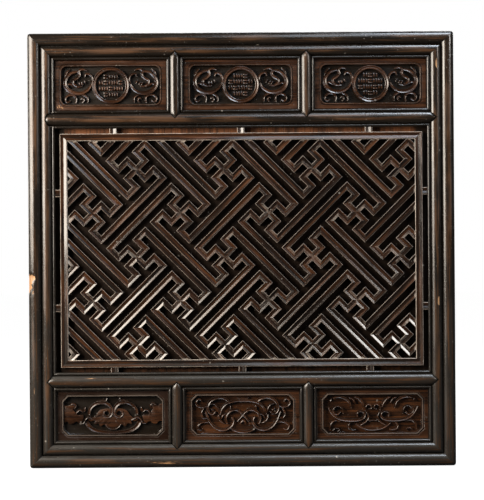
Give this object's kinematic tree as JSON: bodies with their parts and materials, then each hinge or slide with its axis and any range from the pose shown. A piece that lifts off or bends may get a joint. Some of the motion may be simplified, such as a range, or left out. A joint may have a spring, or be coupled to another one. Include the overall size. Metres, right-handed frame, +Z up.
{
  "type": "carved wooden lattice panel",
  "caption": "Wall-hung or built-in wooden panel: moulded frame, a diagonal fret lattice over a backing, and rows of small carved panels above and below.",
  "frame": {"origin": "middle of the back, on the back face of the middle backing board", "axes": "+Z up the panel, +X to the right as seen from the front, +Y out of the back; the carved face looks along -Y"},
  "size_m": [0.6, 0.03, 0.612],
  "materials": {
    "frame": "dark worn lacquer, satin, rubbed lighter on the raised edges",
    "panel": "brown worn lacquer, satin, nearly black in the recesses",
    "lattice": "dark worn lacquer, satin, pale on the arrises",
    "board": "thin brown lacquer over upright grain"
  },
  "bodies": {
    "root": {"backing_board_left": "board", "backing_board_middle": "board", "backing_board_right": "board", "bottom_rail": "frame", "fret_bottom_left_1": "lattice", "fret_bottom_left_2": "lattice", "fret_bottom_right": "lattice", "fret_lattice": "lattice", "fret_left_1": "lattice", "fret_left_2": "lattice", "fret_top_1": "lattice", "fret_top_2": "lattice", "fret_top_3": "lattice", "fret_top_4": "lattice", "fret_top_right": "lattice", "lattice_frame_bottom": "lattice", "lattice_frame_left": "lattice", "lattice_frame_right": "lattice", "lattice_frame_top": "lattice", "lower_mid_rail": "frame", "lower_muntin_left": "frame", "lower_muntin_right": "frame", "lower_panel_left": "panel", "lower_panel_middle": "panel", "lower_panel_right": "panel", "stile_left": "frame", "stile_right": "frame", "strut_bottom_1": "lattice", "strut_bottom_2": "lattice", "strut_bottom_3": "lattice", "strut_left_1": "lattice", "strut_left_2": "lattice", "strut_right_1": "lattice", "strut_right_2": "lattice", "strut_top_1": "lattice", "strut_top_2": "lattice", "strut_top_3": "lattice", "top_rail": "frame", "upper_mid_rail": "frame", "upper_muntin_left": "frame", "upper_muntin_right": "frame", "upper_panel_left": "panel", "upper_panel_middle": "panel", "upper_panel_right": "panel"}
  },
  "joints": []
}
